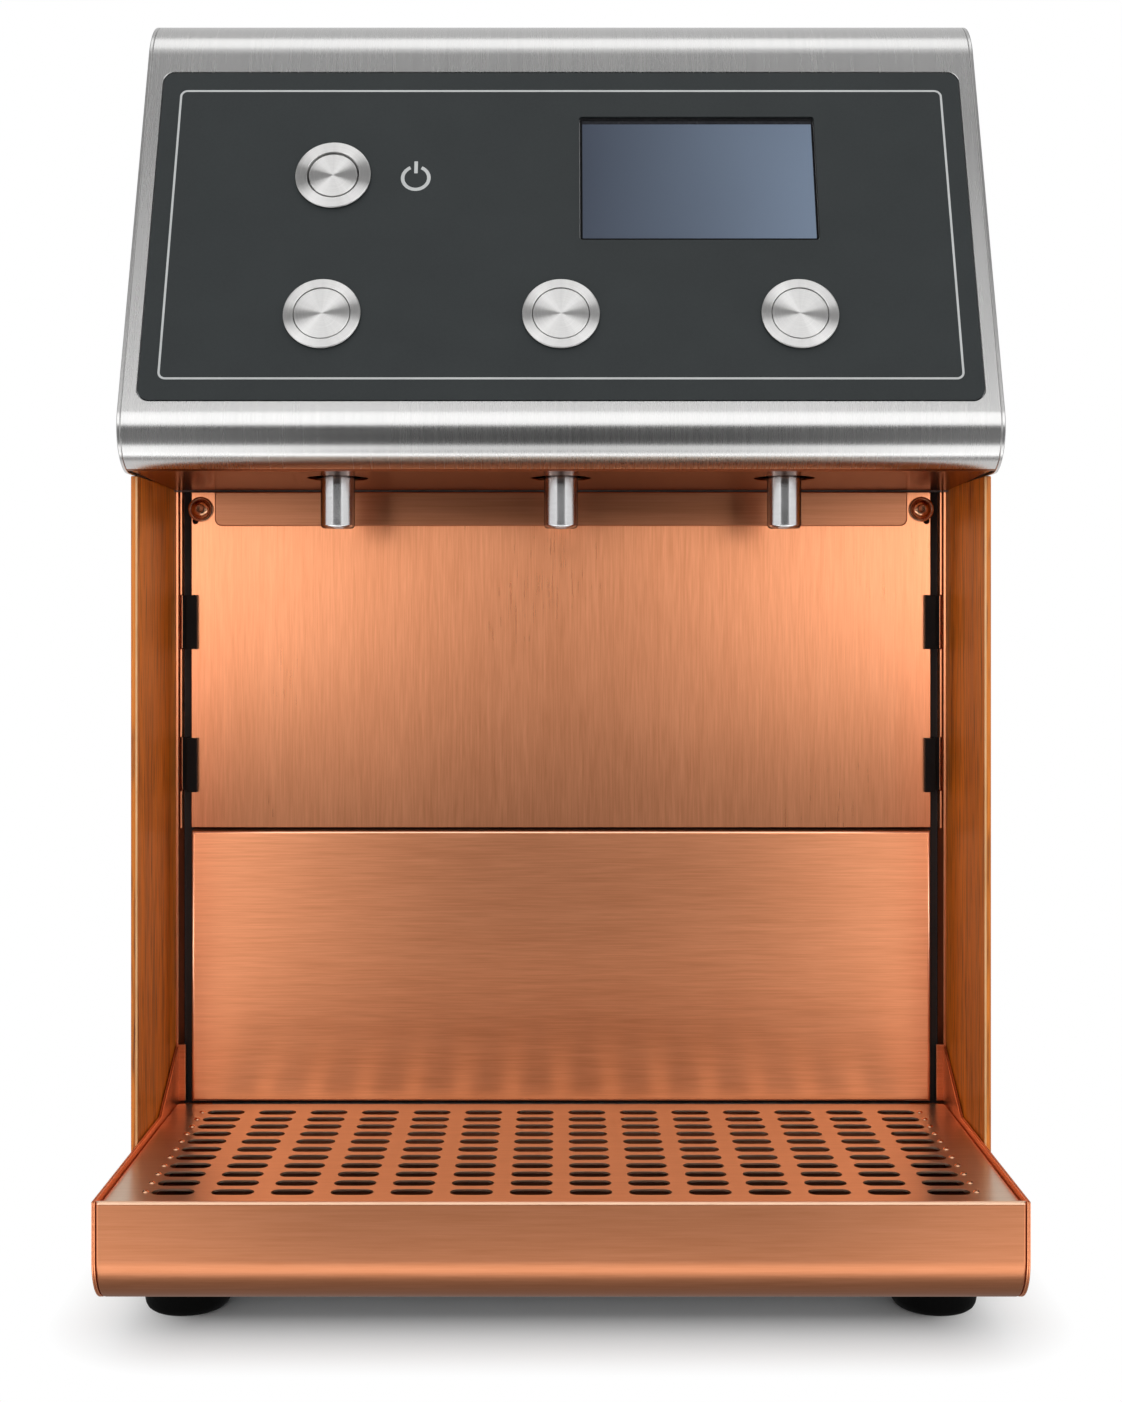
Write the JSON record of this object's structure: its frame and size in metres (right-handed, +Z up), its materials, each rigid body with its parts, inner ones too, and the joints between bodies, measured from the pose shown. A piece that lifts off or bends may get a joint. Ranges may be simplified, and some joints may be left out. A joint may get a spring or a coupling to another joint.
{
  "type": "mulled wine dispenser",
  "caption": "Countertop dispenser for hot mulled wine with a sloping push-button head, spouts over a cup bay between wooden cheeks, and a sliding drip tray with a lift-off grille.",
  "frame": {"origin": "centre of the bounding box on the surface the feet stand on", "axes": "+Z up, the control face and the drip tray look towards -Y, +X to the right seen from the front"},
  "size_m": [0.355, 0.43, 0.539],
  "materials": {
    "stainless": "brushed along the width",
    "polished_steel": "polished",
    "button_steel": "turned, with fine circular lines",
    "inner_steel": "mill finish",
    "screw_steel": "zinc plated",
    "black_steel": "matt black",
    "fascia_grey": "satin slate grey",
    "display_glass": "smooth, blank blue-grey display behind",
    "black_plastic": "fine matt",
    "circuit_board": "green lacquer",
    "brass": "turned",
    "copper_finish": "copper-coloured, brushed",
    "walnut": "oiled, straight reddish-brown grain",
    "foot_rubber": "smooth black",
    "hose_rubber": "food-grade black hose"
  },
  "bodies": {
    "body": {"hood": "stainless", "head_side_left": "stainless", "head_side_right": "stainless", "top_cover": "stainless", "top_cover_screws": "screw_steel", "fascia": "fascia_grey", "fascia_backplate": "inner_steel", "display_window": "display_glass", "display_module": "black_plastic", "control_board": "circuit_board", "board_standoffs": "brass", "power_button_housing": "button_steel", "button_housing_left": "button_steel", "button_housing_centre": "button_steel", "button_housing_right": "button_steel", "button_nuts": "brass", "soffit": "copper_finish", "spout_bar": "inner_steel", "spout_left": "polished_steel", "spout_centre": "polished_steel", "spout_right": "polished_steel", "outlet_hoses": "hose_rubber", "valve_rail": "inner_steel", "valve_left": "brass", "valve_centre": "brass", "valve_right": "brass", "manifold": "inner_steel", "head_deck": "inner_steel", "side_panel_left": "walnut", "side_panel_right": "walnut", "side_frame_left": "copper_finish", "side_frame_right": "copper_finish", "rear_post_left": "inner_steel", "rear_post_right": "inner_steel", "service_panel": "copper_finish", "lower_panel": "copper_finish", "bay_back": "black_steel", "panel_screws": "copper_finish", "panel_clips": "black_plastic", "base_plate": "inner_steel", "feet": "foot_rubber", "foot_screws": "screw_steel", "rear_cover": "stainless", "rear_screws": "screw_steel", "power_inlet": "black_plastic", "wine_inlet": "polished_steel", "pump": "black_plastic", "heater": "inner_steel", "heater_saddle": "inner_steel", "temperature_probe": "brass", "power_supply": "inner_steel", "inlet_hose": "hose_rubber", "pump_hose": "hose_rubber", "heater_hose": "hose_rubber"},
    "tray": {"drip_tray": "copper_finish"},
    "grille": {"drip_grille": "copper_finish"},
    "power_cap": {"power_button_cap": "button_steel"},
    "cap_left": {"button_cap_left": "button_steel"},
    "cap_centre": {"button_cap_centre": "button_steel"},
    "cap_right": {"button_cap_right": "button_steel"}
  },
  "joints": [
    {"name": "tray_slide", "type": "slide", "parent": "body", "child": "tray", "axis": [0, -1, 0], "range_m": [0, 0.15]},
    {"name": "grille_lift", "type": "slide", "parent": "tray", "child": "grille", "axis": [0, 0, 1], "range_m": [0, 0.06]},
    {"name": "power_press", "type": "slide", "parent": "body", "child": "power_cap", "axis": [0, 0.9409, -0.3387], "range_m": [0, 0.0015], "stiffness_N_per_m": 1500},
    {"name": "left_press", "type": "slide", "parent": "body", "child": "cap_left", "axis": [0, 0.9409, -0.3387], "range_m": [0, 0.0015], "stiffness_N_per_m": 1500},
    {"name": "centre_press", "type": "slide", "parent": "body", "child": "cap_centre", "axis": [0, 0.9409, -0.3387], "range_m": [0, 0.0015], "stiffness_N_per_m": 1500},
    {"name": "right_press", "type": "slide", "parent": "body", "child": "cap_right", "axis": [0, 0.9409, -0.3387], "range_m": [0, 0.0015], "stiffness_N_per_m": 1500}
  ]
}
